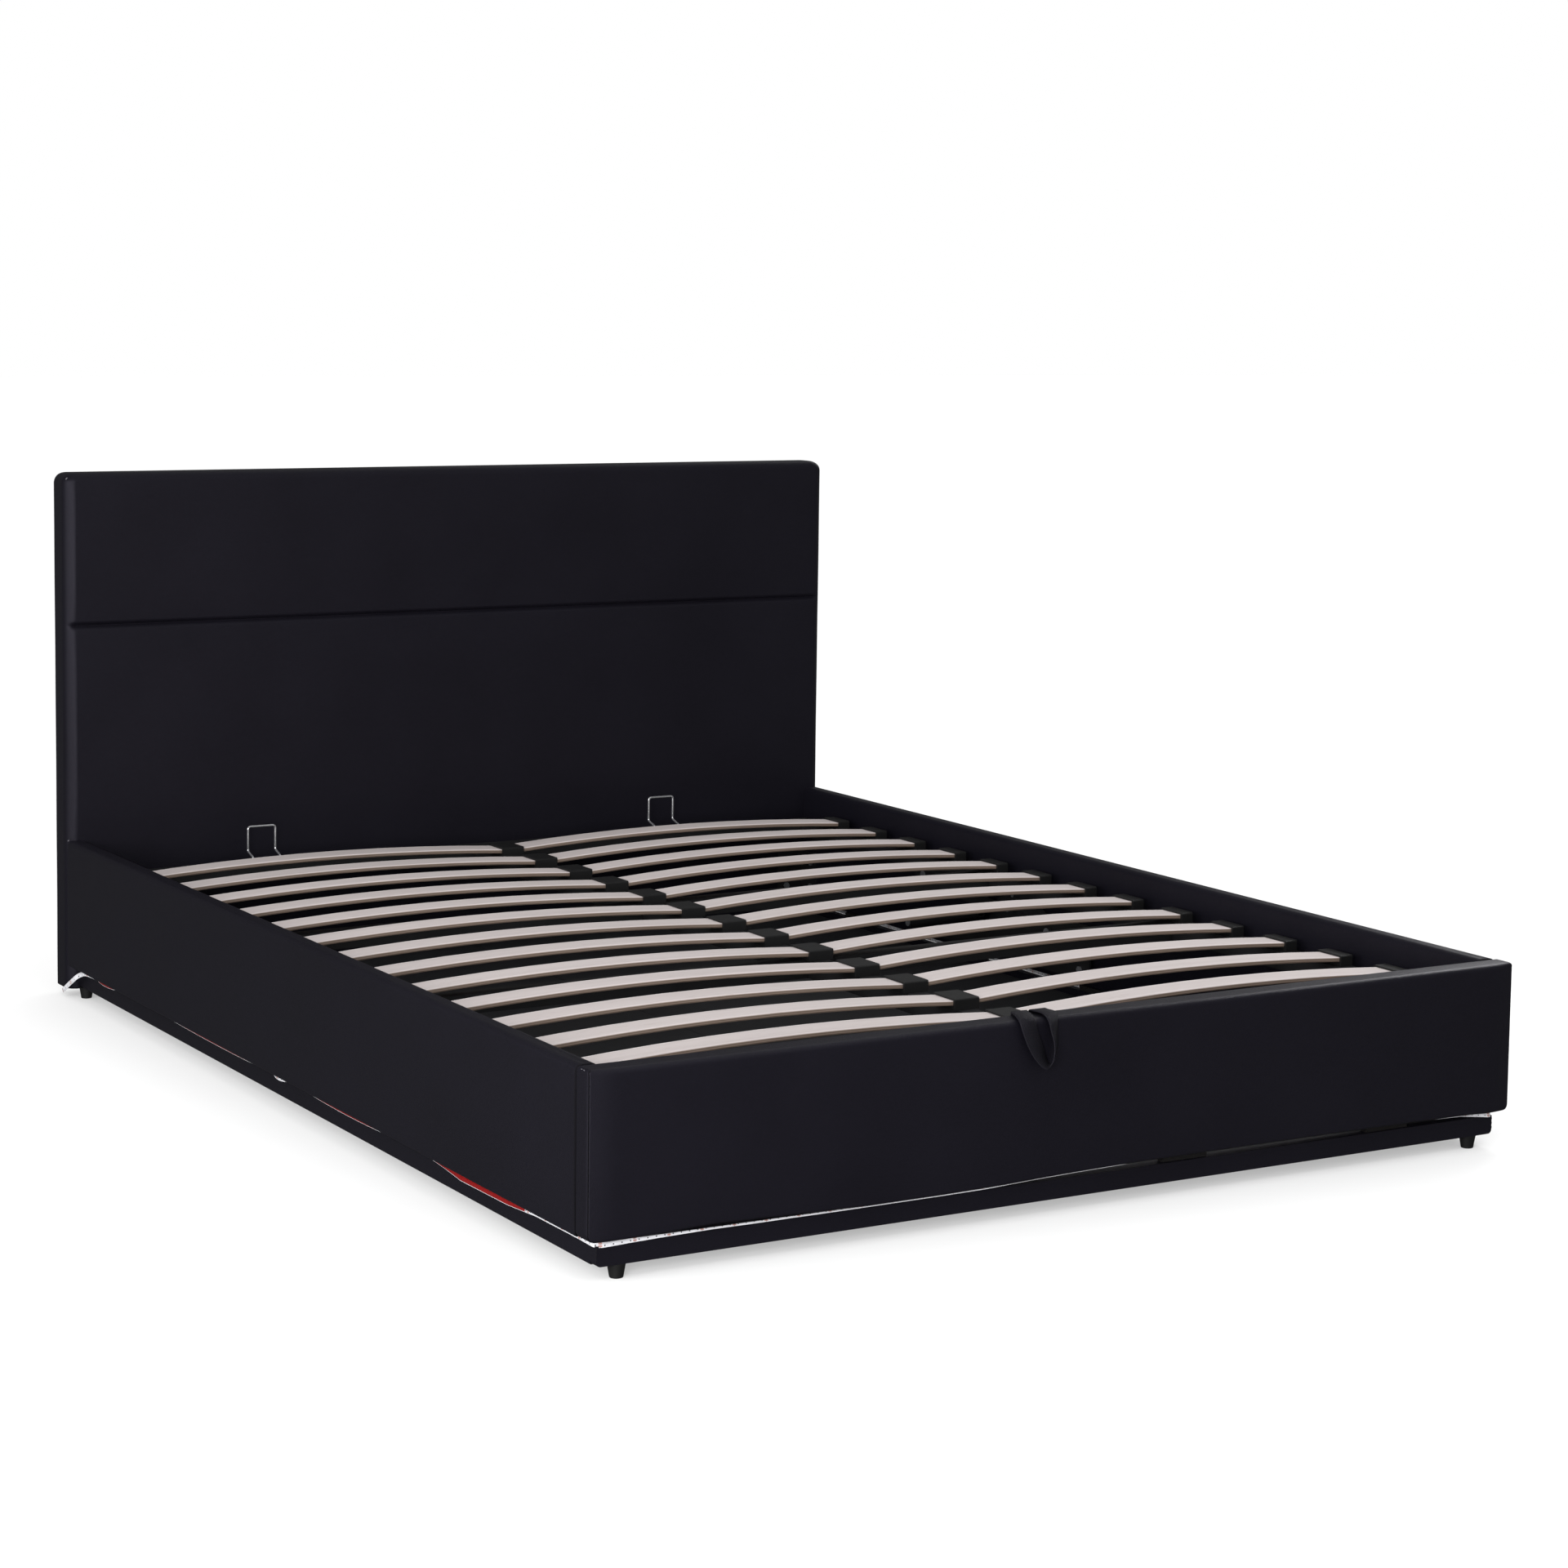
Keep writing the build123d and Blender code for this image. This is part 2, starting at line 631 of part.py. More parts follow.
# Bracket welded to the frame side tube, with the two upper pivots
bracket_outline = loop_face((
    pivot(400, 26), pivot(440, 26), pivot(471, 58), (lift_y + 640, frame_low + 6),
    (lift_y + 640, frame_top - 2), (lift_y + 400, frame_top - 2),
))
frame_bracket = prism_x(Plane.YZ * fillet(bracket_outline.vertices(), 8), base_inner, base_outer)
frame_bracket = frame_bracket + block(
    frame_x, base_inner, lift_y + 481, lift_y + 635, frame_low + 8, frame_top - 4
)
for point in (arm_top, link_top):
    frame_bracket = frame_bracket - rod_x(base_inner, base_outer, point[0], point[1], pin_radius)
save("lift_bracket_right", frame_bracket)
save("lift_bracket_left", mirrored(frame_bracket))
frame_pins = [
    stud(base_outer, arm_inner - running_gap, arm_top, pin_radius, (8, 1.5)),
    stud(base_inner, link_outer + 0.2, link_top, pin_radius, (8, 0.8)),
]
save("lift_frame_pins", frame_pins + [mirrored(shape) for shape in frame_pins])

# Gas strut: open barrel on the base plate, polished rod on the front arm
strut_length = math.hypot(strut_top[0] - strut_base[0], strut_top[1] - strut_base[1])
strut_turn = math.degrees(math.atan2(strut_top[1] - strut_base[1], strut_top[0] - strut_base[0]))


def along_strut(shape):
    """Lay a strut piece drawn along its own X axis between the two strut pivots."""
    return Pos(strut_x, *strut_base) * Rot(strut_turn, 0, 0) * Rot(0, 0, 90) * shape


def cylinder_between(start, end, radius):
    """Bar on the strut axis from start to end."""
    return Pos((start + end) / 2, 0, 0) * Cylinder(radius, end - start, rotation=(0, 90, 0))


strut_hole = Cylinder(strut_pin_radius + pin_gap, 2 * eye_thickness, rotation=(90, 0, 0))
eye = Cylinder(eye_radius, eye_thickness, rotation=(90, 0, 0))
neck = cylinder_between(4, 18, 5)
barrel = cylinder_between(14, 14 + barrel_length, barrel_radius)
barrel = barrel - cylinder_between(18, 14 + barrel_length, barrel_bore)
barrel = fillet(barrel.edges().sort_by(Axis.X)[0], 2)
barrel = barrel + neck + eye - strut_hole
rod = cylinder_between(strut_length - rod_length, strut_length - 4, rod_radius)
rod = rod + Pos(strut_length, 0, 0) * eye - Pos(strut_length, 0, 0) * strut_hole
barrel = along_strut(barrel)
rod = along_strut(rod)
save("strut_barrel_right", barrel)
save("strut_barrel_left", mirrored(barrel))
save("strut_rod_right", rod)
save("strut_rod_left", mirrored(rod))
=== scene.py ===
"""Looks of an upholstered storage bed with a slatted lifting base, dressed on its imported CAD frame."""

import json
import math

import bpy
import numpy as np
from mathutils import Matrix, Vector

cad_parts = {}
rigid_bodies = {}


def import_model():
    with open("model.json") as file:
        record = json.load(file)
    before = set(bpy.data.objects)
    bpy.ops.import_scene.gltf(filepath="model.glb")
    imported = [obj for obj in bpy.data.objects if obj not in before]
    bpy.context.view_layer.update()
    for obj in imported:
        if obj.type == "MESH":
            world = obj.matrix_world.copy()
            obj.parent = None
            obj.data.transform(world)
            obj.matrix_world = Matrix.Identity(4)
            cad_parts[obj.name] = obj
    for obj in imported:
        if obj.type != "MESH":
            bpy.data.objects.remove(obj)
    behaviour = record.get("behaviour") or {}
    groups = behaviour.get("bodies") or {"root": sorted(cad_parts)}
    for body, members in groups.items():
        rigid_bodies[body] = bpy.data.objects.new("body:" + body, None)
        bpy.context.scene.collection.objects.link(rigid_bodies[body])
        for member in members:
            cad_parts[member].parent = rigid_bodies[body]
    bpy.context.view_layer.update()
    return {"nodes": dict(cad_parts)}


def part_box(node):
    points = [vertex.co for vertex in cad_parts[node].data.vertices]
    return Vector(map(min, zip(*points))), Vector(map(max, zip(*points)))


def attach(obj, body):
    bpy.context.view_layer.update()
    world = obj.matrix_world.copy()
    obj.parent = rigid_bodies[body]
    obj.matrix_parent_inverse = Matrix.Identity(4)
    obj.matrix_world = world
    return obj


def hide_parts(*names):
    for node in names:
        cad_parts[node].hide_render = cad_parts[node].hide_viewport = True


for leftover in list(bpy.data.objects):
    bpy.data.objects.remove(leftover)
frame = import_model()
nodes = frame["nodes"]

# Points of the skins: spacing in metres, count round a corner, rows over an edge
skin_spacing = 0.02
skin_corner_steps = 9
skin_edge_steps = 12

# Headboard and rails, in metres, with the power, the rows and the spread of rows of the sewn channel
headboard_seam = 0.683
headboard_shown = 0.29
seam_depth = 0.007
seam_reach = 0.0085
seam_sharpness = 1.7
seam_end = 0.004
seam_fade = 0.020
seam_rows = 25
seam_spread = 1.3
headboard_crown = 0.003
rail_crown = 0.0015
joint_gap = 0.0024
joint_opening = 0.0026
joint_reach = 0.0060

# Unevenness of the skins: height and shortest wave, in metres
headboard_bumps = (0.0007, 0.22)
headboard_end_bumps = (0.0010, 0.13)
rail_bumps = (0.0008, 0.25)
foot_bumps = (0.0006, 0.22)

# Foot panel, in metres: draw towards its ends, radii of its edges and corners, grooves of its corner seams
foot_draw = 0.005
foot_draw_reach = 0.042
foot_roll = 0.009
foot_edge = 0.005
foot_corner = 0.002
foot_groove = 0.0020
hem_fade = 0.08

# Where a groove's painted shade stops being full and where it ends, in shares of the groove's inset
groove_shade = (0.6, 1.1)

# Sewn lines, in metres: the stitches, and how far the lines keep from the edges of their panels
stitch_pitch = 0.0070
stitch_length = 0.0040
stitch_radius = 0.00045
tack_radius = 0.0008
corner_seam_gaps = (0.016, 0.010)
top_seam_inset = 0.0008
top_seam_gaps = (0.012, 0.009)
top_seam_drops = (0.0022, 0.0026)
plinth_seam_gap = 0.008
plinth_seam_inset = 0.0002

# Light strip, in metres: section, bend, start and step of its fixed run, and stretches that show its liner
strip_height = 0.008
strip_thickness = 0.0012
strip_bend = 0.010
strip_start = 0.10
strip_step = 0.004
liner_runs = ((1.54, 1.85), (2.80, 2.92))

# Sagging strip: lean and turn per drop, and the share of its full depth past which the liner shows
sag_lean = 0.9
sag_turn = 0.25
sag_lined = 0.02

# Waver of the strip: height in metres, and radians per metre
strip_waver = 0.0004
strip_waver_rate = 9.0

# Webbing of the pull strap, in metres
webbing_thickness = 0.0018

# Shape of the slats, from the frame
slats_low, slats_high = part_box("slats_right")
slat_rows = 13
slat_width = 0.053
slat_thickness = 0.008
slat_pitch = (slats_high[1] - slats_low[1] - slat_width) / (slat_rows - 1)
slat_bow = slats_high[2] - slats_low[2] - slat_thickness
slat_middle = (slats_high[0] + slats_low[0]) / 2
slat_half = (slats_high[0] - slats_low[0]) / 2

# Light of the studio: backdrop, matt surfaces, reflections, and in these a bright patch at the back right
backdrop = 1.0
soft_sky = 1.35
glossy_sky = 0.10
glow_strength = 1.0
glow_heading = (0.75, 0.45, 0.48)
glow_reach = (0.90, 0.99)

# Floor: half its size in metres, its own light and its two tones
floor_half = 40
floor_glow = 0.40
floor_tones = ((0.45, 0.45, 0.45, 1), (0.47, 0.47, 0.47, 1))

# Camera, fitted to the corners of the bed: turns in degrees, place in metres, lens in millimetres
camera_turns = (30.629, 5.629, 0.75)
camera_place = (-2.8170, -4.9469, 1.3058)
camera_lens = 78.45
camera_sensor = 36
camera_shift = -0.1
camera_sight = 100


# Shader maths
class Field:
    """One shader value; arithmetic on Fields makes the matching math nodes."""

    def __init__(self, socket):
        self.socket = socket
        self.tree = socket.id_data

    def node(self, kind, inputs, out=0, **settings):
        """New node in the same tree; inputs maps socket names or places to Fields or constants."""
        made = self.tree.nodes.new(kind)
        for key, value in settings.items():
            setattr(made, key, value)
        for key, value in dict(inputs).items():
            if isinstance(value, Field):
                self.tree.links.new(value.socket, made.inputs[key])
            else:
                made.inputs[key].default_value = value
        return Field(made.outputs[out])

    def math(self, operation, *others):
        return self.node("ShaderNodeMath", enumerate((self,) + others), operation=operation)

    def __add__(self, other):
        return self.math("ADD", other)

    __radd__ = __add__

    def __sub__(self, other):
        return self.math("SUBTRACT", other)

    def __rsub__(self, other):
        return self.node("ShaderNodeMath", {0: other, 1: self}, operation="SUBTRACT")

    def __mul__(self, other):
        return self.math("MULTIPLY", other)

    __rmul__ = __mul__

    def __truediv__(self, other):
        return self.math("DIVIDE", other)

    def wave(self, length):
        """Sine of this length, from 0 to 1."""
        return (self * (2 * math.pi / length)).math("SINE") * 0.5 + 0.5

    def repeat(self, length):
        """Place within a repeat of this length, from 0 to 1."""
        return (self / length).math("FRACT")

    def step(self, low, high):
        """Smooth step from 0 at low to 1 at high."""
        return self.node(
            "ShaderNodeMapRange", {"Value": self, "From Min": low, "From Max": high},
            interpolation_type="SMOOTHSTEP",
        )

    def band(self, middle, half, soft):
        """1 within half of the middle and 0 beyond, with a soft edge."""
        return (self - middle).math("ABSOLUTE").step(half + soft, half)

    def mix(self, first, second):
        """Colour between first, where this value is 0, and second, where it is 1."""
        return self.node("ShaderNodeMix", {0: self, 6: first, 7: second}, out=2, data_type="RGBA")

    def axis(self, place):
        return self.node("ShaderNodeSeparateXYZ", {0: self}, out=place)

    def stretched(self, x, y, z):
        return self.node("ShaderNodeVectorMath", {0: self, 1: (x, y, z)}, operation="MULTIPLY")

    def warped(self, scale, amount):
        """Coordinates pushed about by noise."""
        push = self.node("ShaderNodeTexNoise", {"Vector": self, "Scale": scale}, out=1)
        push = push.stretched(amount, amount, amount)
        return push.node("ShaderNodeVectorMath", {0: self, 1: push}, operation="ADD")

    def noise(self, scale, detail=2.0, roughness=0.5):
        return self.node(
            "ShaderNodeTexNoise",
            {"Vector": self, "Scale": scale, "Detail": detail, "Roughness": roughness},
        )

    def cells(self, scale):
        """Distance from the nearest border between cells."""
        return self.node(
            "ShaderNodeTexVoronoi", {"Vector": self, "Scale": scale}, feature="DISTANCE_TO_EDGE"
        )

    def attribute(self, name):
        return self.node("ShaderNodeAttribute", {}, out=2, attribute_name=name)

    def bump(self, distance, strength=1.0):
        return self.node(
            "ShaderNodeBump", {"Height": self, "Distance": distance, "Strength": strength}
        )


def tone(red, green, blue):
    """Linear colour of a display colour given from 0 to 255."""
    shares = np.array((red, green, blue)) / 255
    linear = np.where(shares <= 0.04045, shares / 12.92, ((shares + 0.055) / 1.055) ** 2.4)
    return (*linear.tolist(), 1.0)


def begin(name, constants):
    """Principled material with constant sockets; gives it, its shader and a Field of its coordinates."""
    made = bpy.data.materials.new(name)
    made.use_nodes = True
    tree = made.node_tree
    shader = tree.nodes["Principled BSDF"]
    for socket, value in constants.items():
        shader.inputs[socket].default_value = value
    place = tree.nodes.new("ShaderNodeTexCoord").outputs["Object"]
    return made, shader, Field(place)


def connect(shader, **inputs):
    """Joins Fields to the shader's sockets, named with underscores for spaces."""
    for name, field in inputs.items():
        shader.id_data.links.new(field.socket, shader.inputs[name.replace("_", " ")])


# Materials
def leather_look():
    """Black leather-look skin: pebbles of 1 to 2 mm, creases, uneven sheen, and painted shade, near black
    and rougher, in joints.
    """
    made, shader, place = begin(
        "black_leather_look", {"Specular IOR Level": 0.26, "Specular Tint": (0.86, 0.82, 1.0, 1.0)}
    )
    loose = place.warped(240, 0.0016)
    pebbles = loose.cells(560).step(0.0, 0.32)
    small = loose.cells(1250).step(0.0, 0.3)
    creases = place.warped(60, 0.012).cells(95).step(0.0, 0.10)
    height = pebbles * 0.6 + small * 0.25 + creases * 0.25 + place.noise(2600, 1.0) * 0.15
    slow = place.noise(5.0, 2.0)
    colour = (slow * 0.6 + pebbles * 0.4).mix(tone(9, 8, 13), tone(15, 14, 22))
    # Painted shade: near black and rougher where the skin turns into a joint
    painted_joint_shade = place.attribute("painted_joint_shade")
    sheen = 0.42 + slow * 0.14 - pebbles * 0.06
    connect(
        shader, Base_Color=painted_joint_shade.mix(colour, tone(2, 2, 3)), Roughness=sheen + painted_joint_shade * 0.5,
        Normal=height.bump(0.00022, 0.55),
    )
    return made


def birch():
    """Pale birch veneer over glued layers: grain along the slat, a painted highlight along the back edge,
    layers on its edges.
    """
    made, shader, place = begin("birch_veneer", {"Specular IOR Level": 0.4})
    across = place.axis(0).math("ABSOLUTE")
    offset = (across - slat_middle) / slat_half
    low = slats_low[2] + slat_bow - slat_bow * offset * offset
    depth = (place.axis(2) - low) / slat_thickness
    layers = depth.wave(1 / 3.0)
    breadth = (place.axis(1) - slats_low[1]).repeat(slat_pitch) * (slat_pitch / slat_width)
    grain = place.stretched(3.0, 190.0, 60.0).noise(1.0, 3.0, 0.6)
    streaks = place.stretched(1.2, 46.0, 10.0).noise(1.0, 2.0, 0.5)
    flecks = place.stretched(24.0, 420.0, 40.0).noise(1.0, 1.0).step(0.70, 0.78)
    face = (grain * 0.55 + streaks * 0.45).mix(tone(152, 144, 142), tone(180, 172, 171))
    face = (flecks * 0.35).mix(face, tone(112, 95, 85))
    # Painted highlight: a pale band along the back edge of each slat
    face = (breadth.step(0.90, 0.97) * 0.7).mix(face, tone(200, 197, 197))
    edge = (layers * 0.7 + grain * 0.3).mix(tone(78, 66, 57), tone(124, 108, 97))
    top = depth.step(0.74, 0.90)
    connect(
        shader, Base_Color=top.mix(edge, face), Roughness=0.42 + grain * 0.15 + streaks * 0.06,
        Normal=(grain * 0.5 + layers * 0.2).bump(0.00015, 0.4),
    )
    return made


def moulded(name, dark, light, roughness, grain_scale, depth):
    """Moulded or coated surface: fine texture, faint mottling, scuffed sheen."""
    made, shader, place = begin(name, {"Specular IOR Level": 0.4})
    fine = place.noise(grain_scale, 2.0)
    broad = place.noise(14.0, 3.0)
    connect(
        shader, Base_Color=broad.mix(dark, light),
        Roughness=roughness + broad * 0.16 + fine * 0.10, Normal=fine.bump(depth, 0.5),
    )
    return made


def plated(name, colour, roughness, drawn):
    """Plated steel: fine drawn lines and faint cloudiness."""
    made, shader, place = begin(name, {"Metallic": 0.9})
    lines = place.stretched(*drawn).noise(1.0, 2.0)
    cloud = place.noise(40.0, 3.0)
    low = tuple(value * 0.82 for value in colour[:3]) + (1.0,)
    connect(
        shader, Base_Color=cloud.mix(low, colour), Roughness=roughness + lines * 0.12 + cloud * 0.1,
        Normal=lines.bump(0.00004, 0.4),
    )
    return made


def chipboard(name, dark, light):
    """Chipboard: flat flakes between two tones."""
    made, shader, place = begin(name, {"Roughness": 0.8, "Specular IOR Level": 0.2})
    flakes = place.stretched(160.0, 90.0, 220.0).warped(2.0, 0.5).cells(1.0)
    specks = place.noise(420.0, 3.0)
    colour = (flakes * 0.8 + specks * 0.4).mix(dark, light)
    connect(shader, Base_Color=colour, Normal=(flakes + specks).bump(0.0003, 0.6))
    return made


def backing():
    """Non-woven backing cloth: bonded fibres and a grid of pressed dots."""
    made, shader, place = begin("backing_cloth", {"Specular IOR Level": 0.15})
    fibres = place.warped(300, 0.004).noise(900.0, 3.0, 0.7)
    columns = place.axis(0).repeat(0.003).band(0.5, 0.18, 0.1)
    dots = place.axis(2).repeat(0.003).band(0.5, 0.18, 0.1) * columns
    connect(
        shader, Base_Color=(fibres - dots * 0.4).mix(tone(15, 15, 16), tone(42, 42, 44)),
        Roughness=0.82 + fibres * 0.1, Normal=(fibres - dots).bump(0.0002, 0.6),
    )
    return made


def webbing():
    """Black woven webbing: diagonal yarns across the band and brighter bound edges."""
    made, shader, place = begin(
        "black_webbing", {"Specular IOR Level": 0.3, "Specular Tint": (0.86, 0.82, 1.0, 1.0)}
    )
    along = place.attribute("along")
    across = place.attribute("across")
    yarn = (along + across * 0.027).wave(0.0022) * (along - across * 0.027).wave(0.0022)
    ribs = across.wave(0.11)
    edge = across.band(0.0, 0.035, 0.02) + across.band(1.0, 0.035, 0.02)
    colour = (yarn * 0.5 + ribs * 0.2 + edge * yarn * 0.6).mix(tone(6, 6, 9), tone(19, 18, 24))
    connect(shader, Base_Color=colour, Roughness=0.75 - yarn * 0.2, Normal=(yarn + ribs).bump(0.0003, 0.7))
    return made


def light_band():
    """Flexible circuit: white face with solder pads, dots and copper cut lines; red liner behind it."""
    made, shader, place = begin("light_band", {"Specular IOR Level": 0.2})
    along = place.attribute("along")
    across = place.attribute("across")
    outside = place.attribute("outside")
    unit = along.repeat(0.05)
    pads = unit.band(0.0, 0.05, 0.005) + unit.band(1.0, 0.05, 0.005)
    pads = pads * (across.band(0.28, 0.14, 0.03) + across.band(0.72, 0.14, 0.03))
    cut_line = unit.band(0.0, 0.008, 0.004) + unit.band(1.0, 0.008, 0.004)
    dots = along.repeat(0.0125).band(0.5, 0.06, 0.02) * across.band(0.35, 0.1, 0.03)
    grime = place.noise(160.0, 3.0)
    face = grime.mix(tone(172, 172, 176), tone(198, 198, 202))
    face = (pads * 0.8).mix(face, tone(150, 100, 88))
    face = (cut_line * 0.6).mix(face, tone(104, 76, 70))
    face = dots.mix(face, tone(58, 56, 60))
    liner = place.noise(220.0, 2.0).mix(tone(98, 3, 3), tone(124, 6, 6))
    bare = across.step(0.06, 0.09)
    colour = (place.attribute("liner") * bare * outside).mix(face, liner)
    connect(shader, Base_Color=colour, Roughness=0.35 + grime * 0.2, Normal=dots.bump(0.0006, 0.8))
    return made


def thread(name, dark, light):
    """Twisted sewing thread."""
    made, shader, place = begin(name, {"Specular IOR Level": 0.3, "Roughness": 0.7})
    twist = (place.axis(0) + place.axis(1) + place.axis(2)).wave(0.0012)
    connect(shader, Base_Color=twist.mix(dark, light), Normal=twist.bump(0.0001))
    return made


leather = leather_look()
grey_thread = thread("grey_thread", tone(8, 8, 9), tone(18, 18, 20))
pale_thread = thread("pale_thread", tone(70, 69, 74), tone(112, 110, 116))
finishes = {
    "upholstery": leather,
    "birch": birch(),
    "board": chipboard("raw_board", tone(140, 108, 74), tone(205, 175, 132)),
    "back_cloth": backing(),
    "storage_board": moulded("dark_melamine", tone(26, 26, 28), tone(36, 36, 39), 0.45, 900.0, 0.0001),
    "black_plastic": moulded("black_plastic", tone(4, 4, 5), tone(9, 9, 10), 0.50, 1400.0, 0.0001),
    "black_steel": moulded("black_powder_coat", tone(14, 14, 15), tone(22, 22, 24), 0.42, 1100.0, 0.0002),
    "rubber": moulded("black_rubber", tone(20, 20, 20), tone(34, 34, 34), 0.72, 800.0, 0.0002),
    "zinc": plated("zinc_plate", tone(196, 198, 202), 0.28, (60.0, 900.0, 900.0)),
    "chrome": plated("bright_plate", tone(226, 227, 230), 0.10, (900.0, 900.0, 60.0)),
    "webbing": webbing(),
    "white_strip": light_band(),
}
# A darker chipboard for the plinth spacers, floor battens and floor beam than the raw board elsewhere
dark_board = chipboard("dark_chipboard", tone(16, 15, 15), tone(34, 32, 31))
dark_board_nodes = ("plinth_spacers", "floor_battens", "floor_beam")
for name, node in nodes.items():
    node.data.materials[0] = dark_board if name in dark_board_nodes else finishes[node.data.materials[0].name]


# Mesh helpers
def smooth_step(low, high, value):
    """3 t^2 - 2 t^3, with t from 0 at low to 1 at high."""
    t = np.clip((value - low) / (high - low), 0, 1)
    return t * t * (3 - 2 * t)


def grid_faces(rows, columns):
    """Quads of a grid of rows by columns whose last column joins its first."""
    row = np.arange(rows - 1)[:, None] * columns
    column = np.arange(columns)[None, :]
    after = (column + 1) % columns
    corners = (row + column, row + after, row + columns + after, row + columns + column)
    return np.stack(corners, -1).reshape(-1, 4)


def add_piece(name, points, faces, material, body, values=None):
    """New smooth mesh that rides on a body; values are named numbers kept at its points."""
    mesh = bpy.data.meshes.new(name)
    mesh.from_pydata(points.reshape(-1, 3).tolist(), [], faces)
    for key, numbers in (values or {}).items():
        layer = mesh.attributes.new(key, "FLOAT", "POINT")
        layer.data.foreach_set("value", np.ascontiguousarray(numbers, np.float32).ravel())
    mesh.polygons.foreach_set("use_smooth", np.ones(len(mesh.polygons), bool))
    mesh.materials.append(material)
    made = bpy.data.objects.new(name, mesh)
    bpy.context.scene.collection.objects.link(made)
    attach(made, body)
    return made


def unevenness(seed, u, v, bumps, waves=7):
    """Height times the mean of seeded sines over u and v, each of one to three shortest waves."""
    height, size = bumps
    rng = np.random.default_rng(seed)
    total = 0
    for _ in range(waves):
        heading, start = rng.uniform(0, 2 * math.pi, 2)
        length = size * rng.uniform(1, 3)
        place = u * np.cos(heading) + v * np.sin(heading)
        total = total + np.sin(place * 2 * math.pi / length + start)
    return height * total / waves


def crown_share(rise):
    """1 - (2r - 1)^4: from 0 where the rise r is 0 or 1 to 1 between them."""
    return 1 - (2 * rise - 1) ** 4


def edge_inset(height, low, high, low_radius, high_radius):
    """How far a face draws in near its rounded edges: r - sqrt(r^2 - d^2), d past the edge's start."""
    above = np.clip(height - (high - high_radius), 0, high_radius)
    below = np.clip(low + low_radius - height, 0, low_radius)
    upper = high_radius - np.sqrt(high_radius ** 2 - above ** 2)
    return upper + low_radius - np.sqrt(low_radius ** 2 - below ** 2)


def padded_block(name, low, high, corners, top, bottom, spacing, swell, extra_rows=(), joint_shade=None, hem=None):
    """Upholstered block: a plan outline with rounded corners, stacked in height.

    corners are plan radii from the front left corner round to the back left one; top and bottom are the
    radii of the left, right, front and back faces at those edges. Each outline point lies at
    (1 - s) (C_a + r_a d) + s (C_b + r_b d), with C the corner centres, r their radii, d the outward
    direction and s = (1 - cos(pi t)) / 2, closer near the corners, and then moves along d by
    swell(x, y, z, d). joint_shade(x, y) tells from 0 to 1 how much painted shade, near black, the skin
    takes where it turns into a joint, and hem(x) how far the bottom edge lies above its straight place.
    """
    corners = np.array(corners)
    turn = np.linspace(0, 1, skin_corner_steps)
    sides = [high[0] - low[0], high[1] - low[1]] * 2
    first, second, share, angle = [], [], [], []
    for k in range(4):
        count = max(2, int(sides[k] / spacing))
        first += [k] * (len(turn) + count)
        second += [k] * len(turn) + [(k + 1) % 4] * count
        share += [0.0] * len(turn) + list(0.5 - 0.5 * np.cos(np.linspace(0, math.pi, count + 2)[1:-1]))
        angle += list(180 + 90 * k + 90 * turn) + [270 + 90 * k] * count
    share = np.array(share)[None, :, None]
    heading = np.radians(angle)
    outward = np.stack((np.cos(heading), np.sin(heading)), -1)
    bend = np.sin(np.linspace(0, 90, skin_edge_steps) * math.pi / 180)
    largest_top, largest_bottom = max(top), max(bottom)
    middle_rows = np.arange(low[2] + largest_bottom, high[2] - largest_top, spacing)
    rows = np.concatenate((
        low[2] + largest_bottom * (1 - bend), middle_rows, np.array(extra_rows),
        high[2] - largest_top * (1 - bend),
    ))
    rows = np.unique(rows.round(6))
    insets = [edge_inset(rows, low[2], high[2], bottom[k], top[k]) for k in range(4)]
    left, right = low[0] + insets[0], high[0] - insets[1]
    front, back = low[1] + insets[2], high[1] - insets[3]
    centre_x = np.stack((left + corners[0], right - corners[1], right - corners[2], left + corners[3]), -1)
    centre_y = np.stack((front + corners[0], front + corners[1], back - corners[2], back - corners[3]), -1)
    centres = np.stack((centre_x, centre_y), -1)
    near = centres[:, first] + corners[first][None, :, None] * outward[None]
    far = centres[:, second] + corners[second][None, :, None] * outward[None]
    plan = (1 - share) * near + share * far
    height = np.broadcast_to(rows[:, None], plan.shape[:2])
    plan = plan + swell(plan[..., 0], plan[..., 1], height, outward)[..., None] * outward[None]
    if hem:
        height = height + hem(plan[..., 0]) * np.clip(1 - (height - low[2]) / hem_fade, 0, 1) ** 2
    points = np.concatenate((plan, height[..., None]), -1)
    columns = len(angle)
    faces = grid_faces(len(rows), columns).tolist()
    faces.append(list(range(columns))[::-1])
    faces.append(list(range((len(rows) - 1) * columns, len(rows) * columns)))
    # Share of painted joint shade at each point, for the leather's colour
    values = {"painted_joint_shade": joint_shade(points[..., 0], points[..., 1])} if joint_shade else None
    made = add_piece(name, points, faces, leather, "bed_base", values)
    return made


def smooth_line(stations, steps):
    """Catmull-Rom curve through stations, rows of any width, with so many steps per run."""
    rows = np.array(stations, float)
    rows = np.vstack((2 * rows[0] - rows[1], rows, 2 * rows[-1] - rows[-2]))
    t = np.linspace(0, 1, steps, endpoint=False)[:, None]
    runs = []
    for k in range(1, len(rows) - 2):
        a, b, c, d = rows[k - 1:k + 3]
        runs.append(0.5 * (
            2 * b + (c - a) * t + (2 * a - 5 * b + 4 * c - d) * t ** 2 + (3 * b - a - 3 * c + d) * t ** 3
        ))
    return np.vstack(runs + [rows[-2:-1]])


